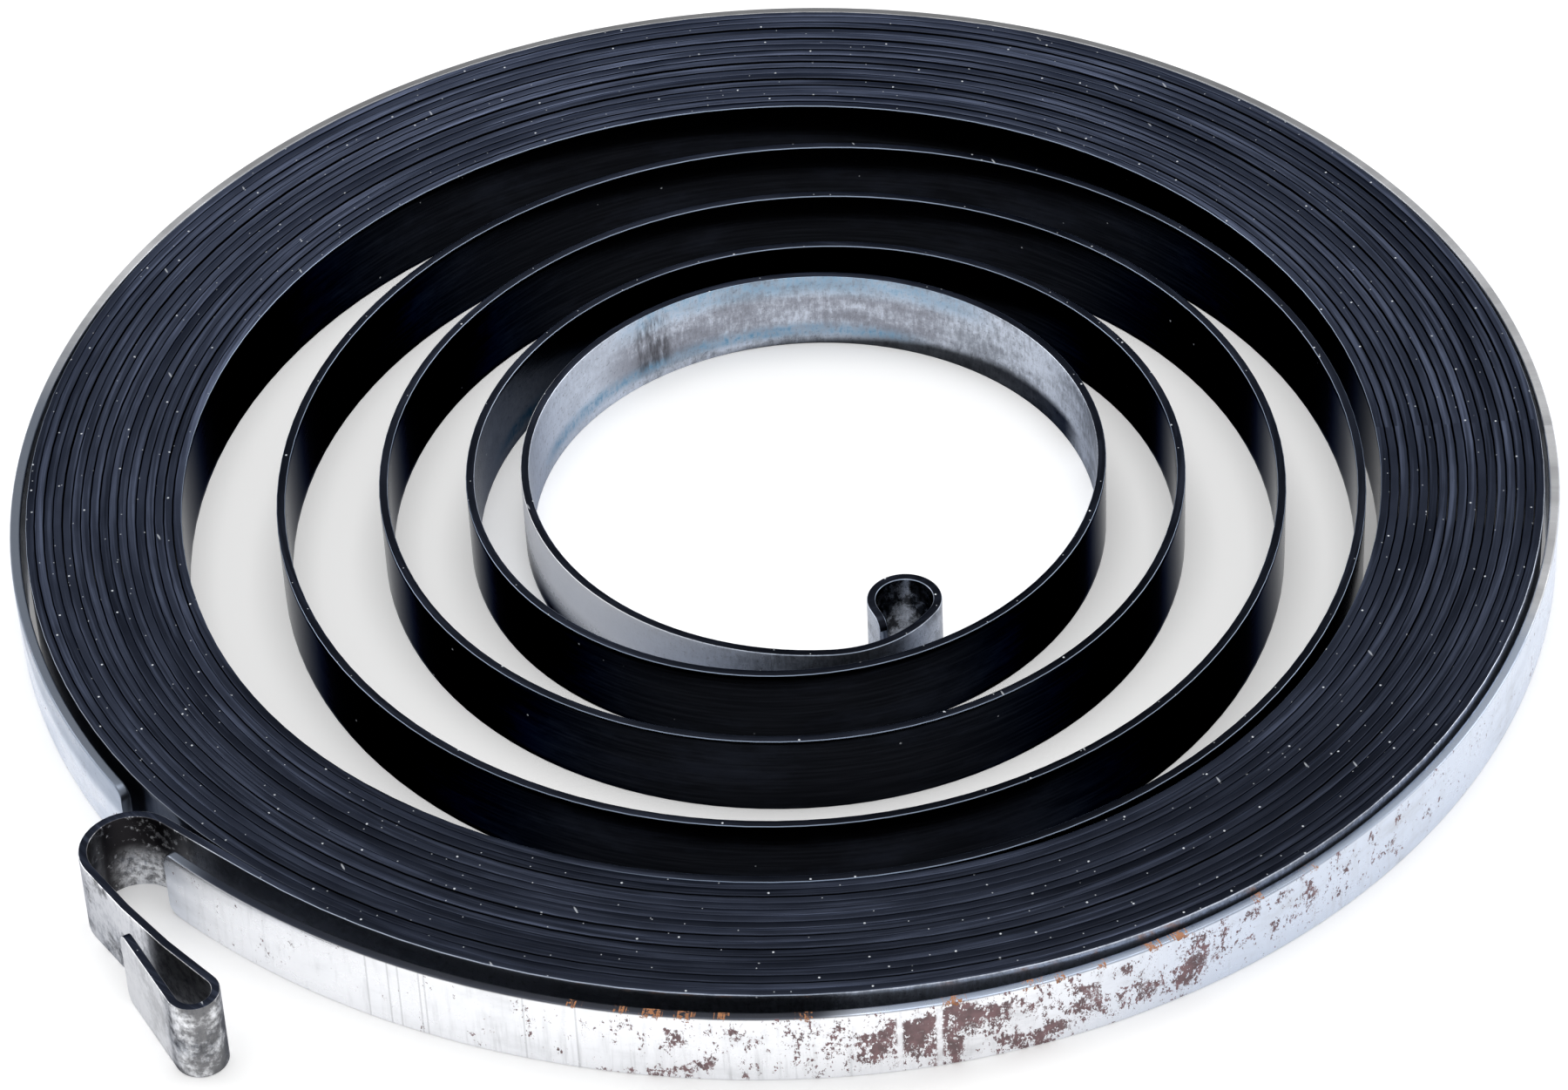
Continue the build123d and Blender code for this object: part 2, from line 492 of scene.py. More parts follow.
class Value:
    """A socket that takes part in ordinary sums and adds the Math nodes for them."""

    def __init__(self, nodes, socket):
        self.nodes = nodes
        self.socket = socket

    def sum(self, operation, *values):
        return self.nodes.node("Math", {"operation": operation}, dict(enumerate(values)))

    def __add__(self, other):
        return self.sum("ADD", self, other)

    def __sub__(self, other):
        return self.sum("SUBTRACT", self, other)

    def __rsub__(self, other):
        return self.sum("SUBTRACT", other, self)

    def __mul__(self, other):
        return self.sum("MULTIPLY", self, other)

    def __truediv__(self, other):
        return self.sum("DIVIDE", self, other)

    __radd__ = __add__
    __rmul__ = __mul__

    def between(self, low, high, start=0.0, end=1.0):
        """Eased step from start to end as the value goes from low to high."""
        settings = {"interpolation_type": "SMOOTHSTEP"}
        return self.nodes.node("MapRange", settings, {
            "Value": self, "From Min": low, "From Max": high, "To Min": start, "To Max": end})

    def below(self, low, high):
        """Eased step down, from one at low to nought at high."""
        return self.between(low, high, 1.0, 0.0)

    def within(self, low, high, soft):
        """One between low and high, and nought a soft step outside them."""
        return self.between(low - soft, low) * self.below(high, high + soft)

    def top(self, other):
        return self.sum("MAXIMUM", self, other)


def highest(masks):
    """The strongest of several masks at each point."""
    found, *rest = masks
    for mask in rest:
        found = found.top(mask)
    return found


def scaled(colour, share):
    """A colour made darker, or lighter with a share over one."""
    return [level * share for level in colour]


class Nodes:
    """The nodes of one material or world, which all come from one method."""

    def __init__(self, tree):
        self.tree = tree

    def node(self, kind, settings=None, values=None, output=0):
        """Adds a node with its settings, then its sockets' values or links; returns an output."""
        made = self.tree.nodes.new("ShaderNode" + kind)
        for key, setting in (settings or {}).items():
            if key == "stops":
                self.fill_ramp(made.color_ramp, setting)
            else:
                setattr(made, key, setting)
        for key, value in (values or {}).items():
            self.feed(made.inputs[key], value)
        return Value(self, made.outputs[output])

    def feed(self, socket, value):
        if isinstance(value, Value):
            self.tree.links.new(value.socket, socket)
        else:
            socket.default_value = value

    def fill_ramp(self, ramp, stops):
        """Stops of a ramp: places with grey levels."""
        while len(ramp.elements) < len(stops):
            ramp.elements.new(1.0)
        for element, (place, level) in zip(ramp.elements, stops):
            element.position = place
            element.color = (level, level, level, 1.0)

    def millimetres(self):
        """Object coordinates in millimetres."""
        found = self.node("TexCoord", output="Object")
        return self.node("VectorMath", {"operation": "SCALE"}, {0: found, "Scale": 1 / MM})

    def split(self, vector):
        return [self.node("SeparateXYZ", None, {0: vector}, axis) for axis in "XYZ"]

    def degrees_round(self, x, y):
        """Angle in degrees anticlockwise from the x axis, from nought to a full turn.

        It is the angle of the opposite point, which jumps at the x axis, plus half a turn.
        """
        opposite = self.node("Math", {"operation": "ARCTAN2"}, {0: y * -1, 1: x * -1})
        return opposite * math.degrees(1) + 180

    def attribute(self, name):
        return self.node("Attribute", {"attribute_name": name}, output="Fac")

    def vector(self, x, y, z):
        return self.node("CombineXYZ", None, {"X": x, "Y": y, "Z": z})

    def noise(self, vector, scale, detail=3.0, roughness=0.55):
        return self.node("TexNoise", None, {
            "Vector": vector, "Scale": scale, "Detail": detail, "Roughness": roughness}, "Fac")

    def field(self, x, y, z, detail=3.0, roughness=0.55):
        """Noise over three numbers, stretched by what each of them was divided by."""
        return self.noise(self.vector(x, y, z), 1.0, detail, roughness)

    def specks(self, vector, scale, size, share, dimensions="2D"):
        """Round dots: cells whose random number is under the share get a dot of that size."""
        near = {"Vector": vector, "Scale": scale}
        kind = {"voronoi_dimensions": dimensions}
        distance = self.node("TexVoronoi", kind, near, "Distance")
        cell = self.node("TexVoronoi", kind, near, "Color")
        chance = self.node("SeparateColor", None, {0: cell}, "Red")
        return distance.below(size * 0.5, size) * chance.below(share, share + 0.01)

    def mix(self, share, first, second, blend="MIX"):
        """First colour where the share is nought, second where it is one."""
        colours = {}
        for socket, colour in ((6, first), (7, second)):
            colours[socket] = colour if isinstance(colour, Value) else (*colour, 1.0)
        settings = {"data_type": "RGBA", "blend_type": blend}
        return self.node("Mix", settings, {0: share, **colours}, 2)

    def mix_value(self, share, first, second):
        """First number where the share is nought, second where it is one."""
        return self.node("Mix", None, {0: share, 2: first, 3: second})

    def bump(self, height, strength, distance):
        return self.node("Bump", None, {
            "Strength": strength, "Distance": distance, "Height": height})

    def seen_rays(self):
        """One for camera, glossy and transmission rays, and nought for the rest."""
        kinds = ("Camera", "Glossy", "Transmission")
        return highest([self.node("LightPath", output="Is %s Ray" % kind) for kind in kinds])


class Finish(Nodes):
    """A material in the making."""

    def __init__(self, name):
        self.material = bpy.data.materials.new(name)
        self.material.use_nodes = True
        super().__init__(self.material.node_tree)
        self.shader = self.tree.nodes["Principled BSDF"]

    def set(self, **values):
        """Sockets of the shader, named with underscores for spaces."""
        for key, value in values.items():
            socket = self.shader.inputs[key.replace("_", " ")]
            if isinstance(value, Value) or not hasattr(value, "__len__"):
                self.feed(socket, value)
            else:
                self.feed(socket, (*value, 1.0))


# Finish of the strip

# Stretches in millimetres from the hook's end. Two numbers: where a stretch fades into the next
# one. Three numbers: first, last and softness.
HOOK_GROUND = (26.0, 34.0)
OUTER_TURN = (250.0, 300.0)
BAND_RIM = (230.0, 280.0)
RETURN_PALE = (4.2, 5.6)
RETURN_MARKED = (4.0, 6.0)
LOOP_INSIDE = (0.0, 13.0, 1.5)
LOOP_BACK = (5.6, 9.4, 0.8)
BEND_INSIDE = (18.5, 28.0, 1.5)
BEND_START = (19.0, 22.0, 1.0)
BEND_SHINE = (22.6, 24.6)

# The same from the curl's end
CURL = (9.0, 12.0)
INNER_TURN = (128.0, 156.0)
LOOSE_TURNS = (560.0, 575.0)
BAND_LIP = (740.0, 780.0)
END_BACK = (2.0, 44.0, 7.0)

# The same in degrees round the spring
WORN_LEFT = (135.0, 250.0, 20.0)
LOW_BLUE = (70.0, 150.0, 15.0)
HIGH_BLUE = (55.0, 118.0, 15.0)
ROSY = (60.0, 125.0, 12.0)
STAIN = (115.5, 121.5, 2.5)
FOOT = (22.0, 96.0, 10.0)
FOOT_RISE = (24.0, 98.0)
OUTER_SHINE = (276.0, 380.0, 8.0)
BACK_FADE = (250.0, 285.0)
BACK_PALE = (225.0, 262.0)


def strip_fields(steel):
    """Everything the strip's finish depends on: places, sides, stretches and noises."""
    at = SimpleNamespace(place=steel.millimetres())
    at.x, at.y, at.z = steel.split(at.place)
    at.flat = steel.vector(at.x, at.y, 0.0)
    at.theta = steel.degrees_round(at.x, at.y)
    at.along, at.to_end, at.inward, at.upward = (
        steel.attribute(name) for name in ("along", "to_end", "inward", "upward"))
    at.edge = at.upward.between(0.80, 0.96)
    at.corner = at.upward.between(0.02, 0.25) * (1 - at.edge)
    at.out_face = at.inward.below(-0.5, -0.2)
    at.in_face = at.inward.between(0.2, 0.5)

    at.fine = steel.field(at.along / 5, at.z * 6, at.inward * 3, 4.0)
    at.brushed = steel.field(at.along / 3, at.z * 0.9, 0.0, 6.0, 0.72)
    at.grain = steel.field(at.along * 3.5, at.z * 1.2, 2.0, 4.0, 0.75)
    patches = steel.field(at.along / 7, at.z / 3, 5.0, 3.0, 0.6)
    at.shade = patches * 0.36 + at.brushed * 0.30 + at.grain * 0.34
    at.mottle = steel.noise(at.place, 0.42, 5.0, 0.68)
    at.speckle = steel.noise(at.place, 2.4, 3.0, 0.7)

    at.loose = at.to_end.below(*LOOSE_TURNS)
    at.hook = at.along.below(*HOOK_GROUND)
    at.pale = at.along.below(*RETURN_PALE) * at.out_face
    curl = at.to_end.below(*CURL)
    # Painted sheen: the bright outer face of the last turn is full up to the front left and dimmer
    # beyond it, except on the curl.
    shown = at.theta.between(*BACK_FADE, 1.0, 0.30).top(curl * 0.9)
    at.back = at.to_end.within(*END_BACK) * at.out_face * at.z.between(0.3, 2.6) * shown
    # Inside the curl the face stays mostly black, with mottled patches of the bright colour as
    # painted reflections.
    curl_shine = steel.field(at.along * 0.8, at.z * 0.7, 1.0, 4.0, 0.7)
    curl_inside = curl * at.in_face * curl_shine.between(0.45, 0.60, 0.95, 0.35)
    inner_turn = at.to_end.below(*INNER_TURN) * at.inward.between(-0.2, 0.4)
    # Painted reflection: the outermost turn's outer face takes the bright colour as if mirroring
    # the ring, most at the front right.
    outer_shine = at.theta.within(*OUTER_SHINE).between(0.0, 1.0, 0.40, 0.95)
    outer_turn = at.along.below(*OUTER_TURN) * at.out_face * outer_shine
    # The bright colour covers the ground steel of the hook and the innermost turn, and the painted
    # sheen of the outer faces.
    at.ground = highest([at.hook, inner_turn * (1 - curl_inside), outer_turn, at.back * 0.95])
    return at


def blued_edges(steel, at, colours):
    """Upper edges of the turns, with streaks that follow each turn, a change along the strip and a
    painted sheen towards the back and the left.
    """
    slow = steel.field(at.along / 38, 0.0, 0.0, 2.0)
    radius = steel.node("VectorMath", {"operation": "LENGTH"}, {0: at.flat}, "Value")
    streaks = steel.field(radius * 3.5, at.theta / 22, at.z, 4.0, 0.65)
    tone_and_sheen = slow.between(0.3, 0.7, 0.50, 1.6) * at.fine.between(0.2, 0.8, 0.75, 1.25)
    # Painted sheen: the edges grow lighter towards the back and a little towards the left.
    tone_and_sheen = tone_and_sheen * at.y.between(-40, 36, 0.80, 2.1) * at.x.between(-38, 38, 1.1, 0.9)
    pale_edge = scaled(colours.edge_blue, 2.6)
    light = steel.mix(streaks.between(0.45, 0.70), colours.edge_blue, pale_edge)
    light = steel.mix(at.loose * 0.75, light, colours.face_black)
    return steel.mix(1.0, light, steel.vector(tone_and_sheen, tone_and_sheen, tone_and_sheen), "MULTIPLY")


def blued_faces(steel, at, colours):
    """Black faces with faint painted reflections, and a painted glint where a rounded edge stands
    free.
    """
    sheen = scaled(colours.face_black, 2.0)
    face = steel.mix(at.fine.between(0.35, 0.8), colours.face_black, sheen)
    # Painted reflection: faint blue clouds on the black faces.
    dim_reflection = steel.field(at.along / 9, at.z / 3.5, at.inward * 5, 5.0, 0.7)
    face = steel.mix(dim_reflection.between(0.46, 0.68) * 0.35, face, colours.edge_blue)
    # Painted highlight on the rounded corners: pale blue where an edge stands free, a dimmer blue
    # elsewhere.
    band_lip = at.to_end.below(*BAND_LIP) * at.inward.between(0.0, 0.3)
    band_rim = at.along.below(*BAND_RIM) * at.inward.below(-0.3, 0.0)
    free = highest([at.loose, band_lip, band_rim])
    glint = steel.mix(free, scaled(colours.edge_blue, 1.3), colours.glint_blue)
    return steel.mix(at.corner, face, glint)


def ground_faces(steel, at, colours):
    """Brushed steel of the innermost turn at the one end and of the hook at the other."""
    grey_face = scaled(colours.face_bright, 0.42)
    worn = at.shade.between(0.42, 0.60) * at.theta.within(*WORN_LEFT).between(0.0, 1.0, 1.0, 0.35)
    bright = steel.mix(worn, colours.face_bright, grey_face)
    pits = steel.field(at.along * 4.5 + at.z * 2.0, at.z * 4.5, 6.0, 3.0, 0.75)
    bright = steel.mix(pits.between(0.55, 0.68) * 0.45, bright, colours.heat_brown)
    hook_shade = at.shade.between(0.44, 0.66) * (1 - at.pale * 0.6)
    return steel.mix(at.hook, bright, steel.mix(hook_shade, colours.ring_bright, grey_face))


def heat_tints(steel, at, colours, bright):
    """Blue and rosy bands, a stain and a black foot on the innermost turn, but not on the hook."""
    turn = 1 - at.hook
    low_blue = at.z.between(0.35, 0.9) * at.z.below(1.0, 1.8) * at.theta.within(*LOW_BLUE)
    high_blue = at.z.between(2.9, 4.3) * at.theta.within(*HIGH_BLUE) * 0.8
    broken = (at.brushed * 0.5 + at.grain * 0.5).between(0.38, 0.60, 1.0, 0.25)
    bright = steel.mix(low_blue.top(high_blue) * broken * turn, bright, colours.heat_blue)
    rosy = at.z.within(1.5, 3.1, 0.6) * at.theta.within(*ROSY)
    rosy = rosy * at.shade.between(0.40, 0.52, 0.25, 1.0)
    bright = steel.mix(rosy * 0.55 * turn, bright, colours.heat_rose)
    strokes = steel.field(at.along * 1.6, at.z * 0.25, 8.0, 4.0, 0.7)
    stain = at.theta.within(*STAIN) * at.z.within(1.4, 3.8, 0.9) * strokes.between(0.40, 0.60)
    bright = steel.mix(stain * 0.75 * turn, bright, colours.heat_brown)
    shore = at.z - at.theta.between(*FOOT_RISE, 1.35, 0.0)
    foot = shore.below(-0.2, 0.5) * at.theta.within(*FOOT) * turn
    return steel.mix(foot * 0.92, bright, colours.face_black)


def hook_darkening(steel, at):
    """Share of dark colour on the hook: inside its wide bend and its loop, scale on its loop's
    back, and marks.
    """
    # Darker inside the wide bend in mottled patches, less so low down past its middle and at its
    # start.
    bend = at.along.within(*BEND_INSIDE) * at.out_face
    bend = bend * (at.mottle * 0.5 + at.speckle * 0.5).below(0.52, 0.66)
    polished = at.along.between(*BEND_SHINE) * at.z.below(1.2, 3.0)
    bend = bend * (1 - polished * at.speckle.between(0.40, 0.62, 1.0, 0.3))
    bend = bend * at.along.within(*BEND_START).between(0.0, 1.0, 1.0, 0.82)
    loop_back = at.along.within(*LOOP_BACK) * at.out_face
    loop_back = loop_back * (at.mottle * 0.7 + at.speckle * 0.3).between(0.36, 0.54)
    # Darker inside the loop, speckled.
    loop_inside = at.along.within(*LOOP_INSIDE) * at.in_face
    loop_inside = loop_inside * at.speckle.between(0.35, 0.60, 0.80, 0.55)
    marks = (at.mottle * 0.72 + at.speckle * 0.28).between(0.48, 0.62) * 0.72
    marks = marks * at.along.between(*RETURN_MARKED, 0.35, 1.0)
    return highest([bend, loop_back * 0.8, loop_inside, marks]) * at.hook


def dust_specks(steel, at):
    """Pale dots and short fibres on the oily edges, and a few dots on the faces."""
    dots = steel.specks(at.flat, 0.45, 0.032, 0.42)
    dots = dots.top(steel.specks(at.flat, 1.2, 0.055, 0.18) * 0.55)
    drawn_out = steel.vector(at.x * 0.9 + at.y * 0.35, at.y * 0.22, 0.0)
    fibres = steel.specks(drawn_out, 0.45, 0.028, 0.30)
    dust = dots.top(fibres * 0.5) * at.upward.between(0.3, 0.8)
    return dust.top(steel.specks(at.place, 0.8, 0.06, 0.30, "3D") * 0.6)


def spring_steel(colours):
    """Blued, oiled spring steel with a bright innermost turn, a bright hook and heat tints."""
    steel = Finish("oiled_spring_steel")
    at = strip_fields(steel)
    bright = heat_tints(steel, at, colours, ground_faces(steel, at, colours))
    bright = steel.mix(hook_darkening(steel, at), bright, scaled(colours.heat_brown, 0.6))
    # Painted sheen: the last turn's outer face turns pale towards the left.
    back_sheen = at.back * at.theta.between(*BACK_PALE, 0.9, 0.0)
    bright = steel.mix(back_sheen, bright, colours.ring_bright)
    colour = steel.mix(at.ground, blued_faces(steel, at, colours), bright)
    colour = steel.mix(at.edge, colour, blued_edges(steel, at, colours))
    dust = dust_specks(steel, at)
    colour = steel.mix(dust, colour, colours.dust)

    satin = at.fine.between(0.2, 0.8, 0.28, 0.40)
    roughness = steel.mix_value(at.edge.top(at.corner), 0.14, satin)
    ground_satin = at.shade.between(0.3, 0.7, 0.26, 0.40)
    roughness = steel.mix_value(at.ground * (1 - at.edge), roughness, ground_satin)
    roughness = steel.mix_value(dust, roughness, 0.8)
    metal = 1 - highest([dust, at.back * 0.75, at.pale * 0.5])
    height = at.fine * 0.3 + at.brushed * 0.5 + at.grain * 0.2
    steel.set(Base_Color=colour, Roughness=roughness, Metallic=metal,
              Specular_Tint=(0.30, 0.31, 0.34), Normal=steel.bump(height, 0.2, 0.03 * MM))
    return steel.material


# Finish of the ring

# Density of the rust round the ring: degrees and share
RUST_ALONG = (
    (0, 0.10), (200, 0.12), (248, 0.12), (256, 0.30), (262, 0.34), (270, 0.40), (272, 0.58),
    (282, 0.55), (285, 0.44), (298, 0.44), (303, 0.40), (314, 0.36), (322, 0.28), (330, 0.22),
    (340, 0.12), (360, 0.10),
)
# Denser patches: middle and half width in degrees, low and high in millimetres
RUST_PATCHES = (
    (257.6, 1.5, 0.0, 0.45), (260.2, 0.9, 0.2, 0.60), (261.2, 0.5, 2.4, 3.2),
    (263.0, 0.4, 0.7, 1.3), (274.2, 0.7, 1.2, 2.6), (277.2, 1.2, 1.3, 3.0),
    (280.0, 0.9, 2.2, 3.7), (282.8, 0.8, 2.6, 3.2), (279.4, 0.7, 0.1, 0.9),
    (284.4, 1.2, 0.3, 1.0), (287.0, 0.7, 0.2, 1.2), (288.8, 0.6, 1.8, 2.9),
    (293.3, 0.3, 1.3, 3.0), (296.4, 0.5, 0.8, 2.0), (298.0, 0.7, 1.3, 2.6),
    (307.6, 0.3, 1.6, 3.2),
)
# Places of small marks round the ring in degrees
ORANGE_SPOTS = (
    253.9, 257.2, 259.4, 261.7, 264.1, 269.8, 279.9, 285.2, 287.2, 290.1, 294.1, 296.3, 303.0,
    307.6,
)
SCORE_LINES = (238.7, 240.4, 241.2, 242.8, 243.2, 250.4, 254.1)

# Stretches round the ring in degrees: first, last and softness
FRONT = (228.0, 345.0, 12.0)
SHADED_RIGHT = (302.0, 345.0, 22.0)
SMEARED_LEFT = (215.0, 262.0, 6.0)
DRIPS = (248.0, 272.0, 6.0)
OPENED_END = (150.0, 214.0, 12.0)
CLEAN_LINES = ((275.9, 276.1, 0.2), (278.6, 278.8, 0.2))
RIM_BACK = (50.0, 125.0, 25.0)
RIM_LEFT = (172.0, 230.0, 18.0)
RIM_SHADED = (226.0, 270.0, 5.0)
RIM_RIGHT = (276.0, 335.0, 6.0)
MEAN_RADIUS = 41


def ring_fields(steel):
    """Everything the ring's finish depends on: places, sides and noises that follow its girth."""
    at = SimpleNamespace(place=steel.millimetres())
    x, y, at.z = steel.split(at.place)
    at.theta = steel.degrees_round(x, y)
    at.girth = at.theta * math.radians(MEAN_RADIUS)
    at.outer = steel.attribute("inward").below(-0.7, -0.3)
    at.upward = steel.attribute("upward")
    at.smear = steel.field(at.girth / 5, at.z / 2.2, 0.0, 5.0, 0.65)
    at.grain = steel.field(at.girth * 2.2, at.z / 3, 0.0)
    at.speckle = steel.field(at.girth * 2.6, at.z * 1.3, 3.0, 4.0, 0.8)
    at.fleck = steel.field(at.girth * 6.0, at.z * 4.0, 9.0, 3.0, 0.8)
    return at


def polished_sheet(steel, at, colours):
    """Silver at the front, bluer and greyer elsewhere, with smears, drips and score lines."""
    grey = scaled(colours.ring_bright, 0.5)
    back = at.theta.within(*FRONT).below(0.0, 1.0)
    far = back * at.smear.between(0.30, 0.60, 0.65, 1.0)
    colour = steel.mix(far, colours.ring_bright, colours.face_bright)
    colour = steel.mix(at.theta.within(*SHADED_RIGHT) * 0.75, colour, colours.shadow_blue)
    smeared = at.theta.within(*SMEARED_LEFT).between(0.0, 1.0, 0.5, 0.25)
    colour = steel.mix(at.smear.between(0.50, 0.76) * smeared, colour, grey)
    colour = steel.mix(at.grain.between(0.50, 0.75) * 0.22, colour, grey)
    drips = steel.field(at.girth * 1.9, at.z / 9, 4.0, 4.0, 0.7).between(0.50, 0.66)
    drips = drips * at.z.below(1.0, 3.2) * at.theta.within(*DRIPS)
    colour = steel.mix(drips * 0.35, colour, grey)
    # Painted reflection: the upper part of the ring's face towards its opened end turns blue.
    opened = at.theta.within(*OPENED_END) * at.z.between(2.1, 2.9)
    colour = steel.mix(opened * 0.8, colour, colours.glint_blue)
    lines = highest([at.theta.within(angle - 0.04, angle + 0.04, 0.05) for angle in SCORE_LINES])
    return steel.mix(lines * at.outer * 0.45, colour, grey)


def ring_rim(steel, at, colours):
    """The ring's upper edge: silver, with painted shade at the back, at the left, in the hook's
    shade and, bluer, at the right.
    """
    pale, dull, dark = (scaled(colours.ring_bright, share) for share in (0.55, 0.34, 0.12))
    rim = steel.mix(at.smear.between(0.35, 0.65), pale, dull)
    rim = steel.mix(at.theta.within(*RIM_BACK) * 0.75, rim, dark)
    rim = steel.mix(at.theta.within(*RIM_LEFT) * 0.9, rim, scaled(colours.glint_blue, 0.40))
    rim = steel.mix(at.theta.within(*RIM_SHADED) * 0.95, rim, colours.edge_blue)
    return steel.mix(at.theta.within(*RIM_RIGHT) * 0.75, rim, colours.glint_blue)


def rust_share(steel, at):
    """Where the ring is rusty: by its density round the ring, more in the patches' ragged boxes."""
    stops = [(angle / 360, density) for angle, density in RUST_ALONG]
    density = steel.node("ValToRGB", {"stops": stops}, {0: at.theta / 360})
    middle = at.z.between(0.2, 1.6, 0.68, 1.0) * at.z.between(3.2, 4.4, 1.0, 0.72)
    ragged_theta = at.theta + (at.speckle - 0.5) * 9.0 + (at.fleck - 0.5) * 3.0
    ragged_z = at.z + (at.speckle - 0.5) * 3.0 + (at.fleck - 0.5) * 2.0
    patches = highest([
        ragged_theta.within(angle - half * 0.8, angle + half * 0.8, half)
        * ragged_z.within(bottom, height, 0.6)
        for angle, half, bottom, height in RUST_PATCHES])
    reach = density * middle + patches * 0.35
    blotch = steel.field(at.girth * 0.75, at.z * 0.45, 0.0, 4.0, 0.65)
    noise = blotch * 0.34 + at.speckle * 0.36 + at.fleck * 0.30
    rust = (noise + reach * 0.17).between(0.600, 0.622)
    clean = highest([at.theta.within(*line) for line in CLEAN_LINES])
    return rust * at.outer * (1 - clean * 0.9)


def orange_spots(steel, at):
    """Crumbs of fresh rust close under the rim, each spot with its own width."""
    ragged = at.theta + (at.fleck - 0.5) * 3.0 + (at.speckle - 0.5) * 2.0
    spots = []
    for number, angle in enumerate(ORANGE_SPOTS):
        half = 0.12 + 0.35 * math.sin(number * 2.4) ** 4
        spots.append(ragged.within(angle - half, angle + half, 0.35))
    crumbs = steel.noise(at.place, 3.2, 3.0, 0.75)
    return (highest(spots) * at.z.between(3.60, 4.20) * 0.32 + crumbs).between(0.79, 0.83)


def ring_steel(colours):
    """Polished ring steel with grey smears, score lines and rust placed round the ring."""
    steel = Finish("spotted_ring_steel")
    at = ring_fields(steel)
    rim = ring_rim(steel, at, colours)
    colour = steel.mix(at.upward.between(0.3, 0.9), polished_sheet(steel, at, colours), rim)
    rust = rust_share(steel, at)
    tint = steel.field(at.girth * 1.6, at.z * 1.2, 7.0).between(0.35, 0.65)
    rust_colour = steel.mix(tint, colours.rust, scaled(colours.rust, 1.9))
    colour = steel.mix(rust * 0.92, colour, rust_colour)
    spots = orange_spots(steel, at)
    colour = steel.mix(spots * 0.9, colour, colours.fresh_rust)

    matt = rust.top(spots)
    roughness = steel.mix_value(matt, at.smear.between(0.3, 0.8, 0.22, 0.45), 0.8)
    height = at.grain * 0.3 + matt * 0.7
    steel.set(Base_Color=colour, Roughness=roughness, Metallic=1 - matt * 0.85,
              Normal=steel.bump(height, 0.3, 0.05 * MM))
    return steel.material


def floor_paper(colour, lift):
    """Matt pale paper that cameras and mirrors see a little lighter, up to white."""
    paper = Finish("floor_paper")
    mottle = paper.noise(paper.millimetres(), 0.02, 2.0)
    shade = paper.mix(mottle, colour, scaled(colour, 0.985))
    glow = paper.mix(paper.seen_rays(), (0.0, 0.0, 0.0), (lift, lift, lift))
    paper.set(Base_Color=shade, Roughness=0.9, Emission_Color=glow, Emission_Strength=1.0,
              Specular_IOR_Level=0.0)
    return paper.material


# Pieces

def dress(piece, node, material):
    """The piece takes the CAD node's place in the one body and wears the material."""
    piece.data.materials.append(material)
    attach(piece, "root")
    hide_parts(node)


class SPRING_OT_strip(bpy.types.Operator):
    """Adds the wound strip with its hook and its curl"""

    bl_idname = "spring.strip"
    bl_label = "Spring Strip"

    def execute(self, context):
        sizes = context.scene.spring_strip_sizes
        piece = bar_mesh("wound_strip", spring_run(sizes), sizes, loosely=True)
        dress(piece, "spring_strip", spring_steel(context.scene.spring_finishes))
        return {"FINISHED"}


class SPRING_OT_ring(bpy.types.Operator):
    """Adds the split ring round the coil"""

    bl_idname = "spring.ring"
    bl_label = "Retaining Ring"

    def execute(self, context):
        sizes = context.scene.spring_ring_sizes
        piece = bar_mesh("split_ring", ring_run(sizes), sizes)
        dress(piece, "retaining_ring", ring_steel(context.scene.spring_finishes))
        return {"FINISHED"}


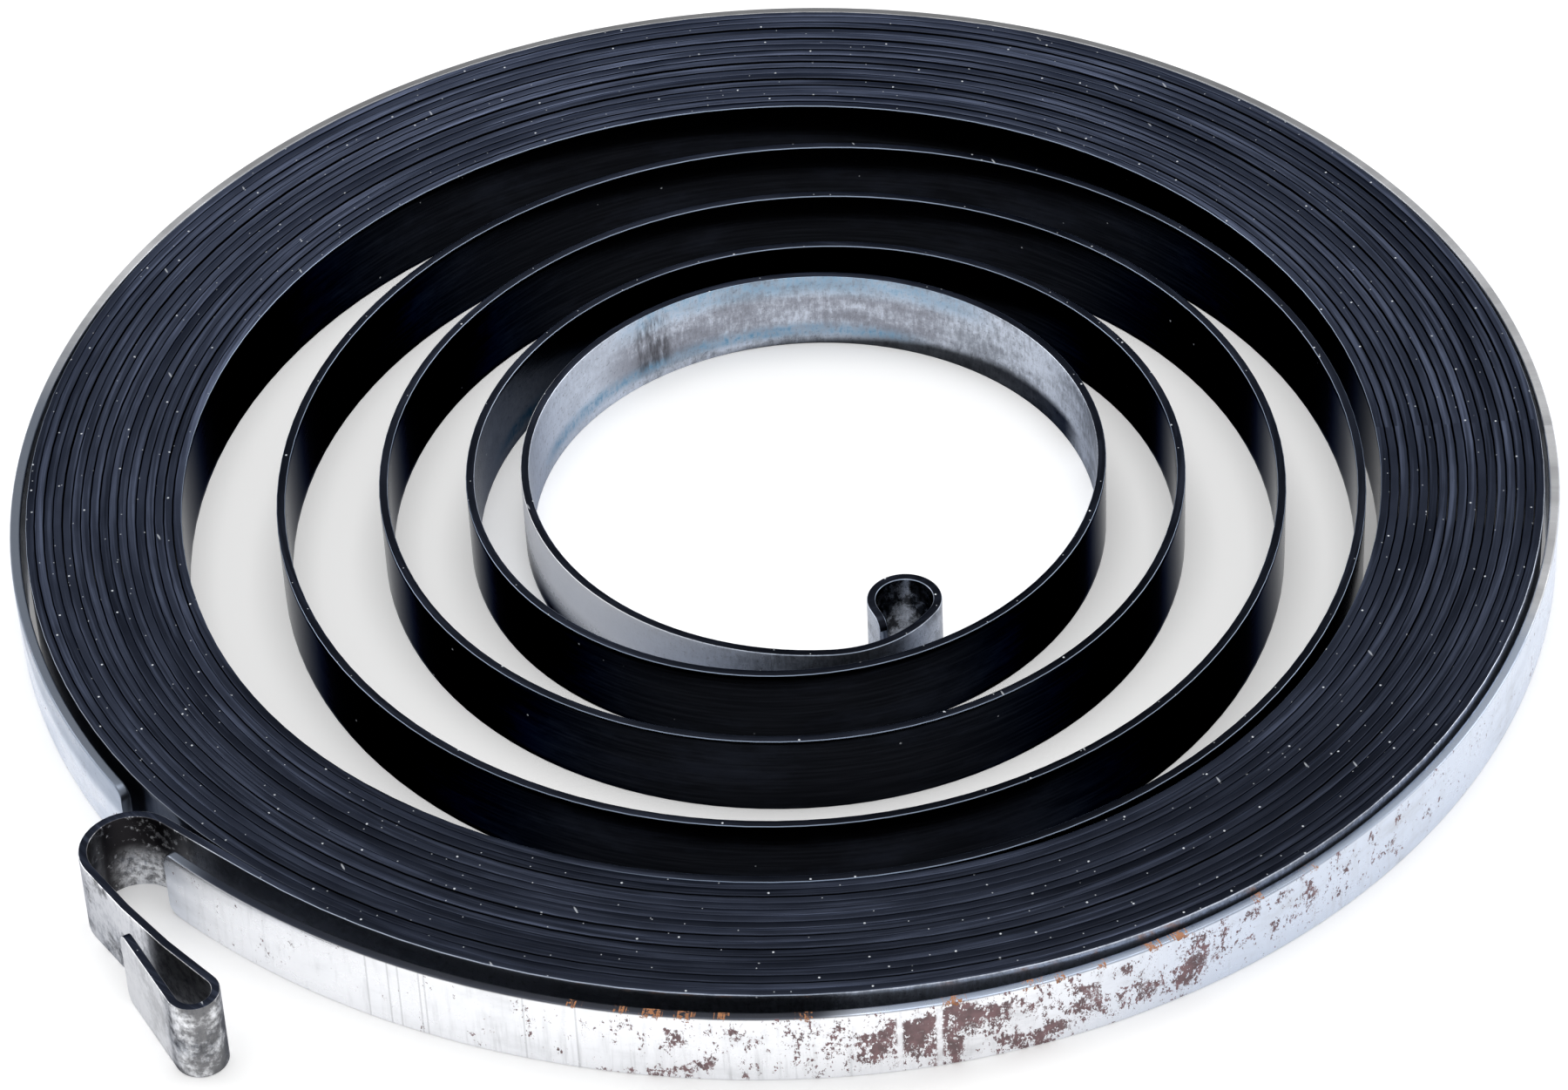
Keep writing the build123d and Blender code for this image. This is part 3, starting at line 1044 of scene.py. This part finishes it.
class SPRING_OT_stage(bpy.types.Operator):
    """Adds the floor, the soft lights and the camera"""

    bl_idname = "spring.stage"
    bl_label = "Stage"

    def execute(self, context):
        setup = context.scene.spring_stage
        self.add_floor(context.scene, setup)
        self.add_world(context.scene, setup)
        for name, place, size, brightness in SOFTBOXES:
            self.add_softbox(context.scene, name, place, size, getattr(setup, brightness))
        self.add_camera(context.scene, setup)
        context.scene.view_settings.view_transform = "Standard"
        return {"FINISHED"}

    def add_floor(self, scene, setup):
        half = setup.floor_size / 2
        corners = [(-half, -half, 0), (half, -half, 0), (half, half, 0), (-half, half, 0)]
        mesh = bpy.data.meshes.new("floor")
        mesh.from_pydata(corners, [], [(0, 1, 2, 3)])
        floor = bpy.data.objects.new("floor", mesh)
        scene.collection.objects.link(floor)
        mesh.materials.append(floor_paper(setup.floor_colour, setup.floor_lift))

    def add_world(self, scene, setup):
        """White where it is seen, and dimmer as a light."""
        world = bpy.data.worlds.new("studio")
        world.use_nodes = True
        scene.world = world
        studio = Nodes(world.node_tree)
        background = world.node_tree.nodes["Background"]
        strength = studio.mix_value(studio.seen_rays(), setup.ambient, 1.0)
        studio.feed(background.inputs["Color"], (1.0, 1.0, 1.0, 1.0))
        studio.feed(background.inputs["Strength"], strength)

    def add_softbox(self, scene, name, place, size, radiance):
        """Square lamp that faces the spring, with the power for the wanted brightness."""
        light = bpy.data.lights.new(name, "AREA")
        light.shape = "SQUARE"
        light.size = size
        light.energy = radiance * math.pi * size * size
        lamp = bpy.data.objects.new(name, light)
        scene.collection.objects.link(lamp)
        across, depth, height = place
        lamp.location = place
        tilt = math.atan2(math.hypot(across, depth), height)
        lamp.rotation_euler = (tilt, 0.0, math.atan2(depth, across) + QUARTER_TURN)

    def add_camera(self, scene, setup):
        """The camera stands its distance from the target, along the line of sight."""
        data = bpy.data.cameras.new("camera")
        data.lens = setup.lens
        data.sensor_width = SENSOR_WIDTH
        data.clip_start = NEAR_CLIP
        camera = bpy.data.objects.new("camera", data)
        scene.collection.objects.link(camera)
        away = setup.distance * math.cos(setup.elevation)
        rise = setup.distance * math.sin(setup.elevation)
        camera.location = (setup.target[0], setup.target[1] - away, rise)
        camera.rotation_mode = "ZYX"
        camera.rotation_euler = (QUARTER_TURN - setup.elevation, 0.0, setup.roll)
        scene.camera = camera


class SPRING_PT_panel(bpy.types.Panel):
    """Lists the spring's pieces and its stage"""

    bl_idname = "SPRING_PT_panel"
    bl_label = "Return Spring"
    bl_space_type = "VIEW_3D"
    bl_region_type = "UI"
    bl_category = "Spring"

    def draw(self, context):
        for operator in OPERATORS:
            self.layout.operator(operator.bl_idname)
        for group in GROUPS:
            box = self.layout.box()
            values = getattr(context.scene, group)
            for key in values.bl_rna.properties.keys():
                if key not in ("rna_type", "name"):
                    box.prop(values, key)


GROUPS = {
    "spring_strip_sizes": StripSizes,
    "spring_ring_sizes": RingSizes,
    "spring_finishes": Finishes,
    "spring_stage": StageSizes,
}
OPERATORS = (SPRING_OT_strip, SPRING_OT_ring, SPRING_OT_stage)


def register():
    for group in GROUPS.values():
        bpy.utils.register_class(group)
    for key, group in GROUPS.items():
        setattr(bpy.types.Scene, key, bpy.props.PointerProperty(type=group))
    for operator in OPERATORS:
        bpy.utils.register_class(operator)
    bpy.utils.register_class(SPRING_PT_panel)


def unregister():
    bpy.utils.unregister_class(SPRING_PT_panel)
    for operator in reversed(OPERATORS):
        bpy.utils.unregister_class(operator)
    for key in reversed(GROUPS):
        delattr(bpy.types.Scene, key)
    for group in reversed(GROUPS.values()):
        bpy.utils.unregister_class(group)


def main():
    register()
    bpy.ops.spring.strip()
    bpy.ops.spring.ring()
    bpy.ops.spring.stage()


if __name__ == "__main__":
    main()
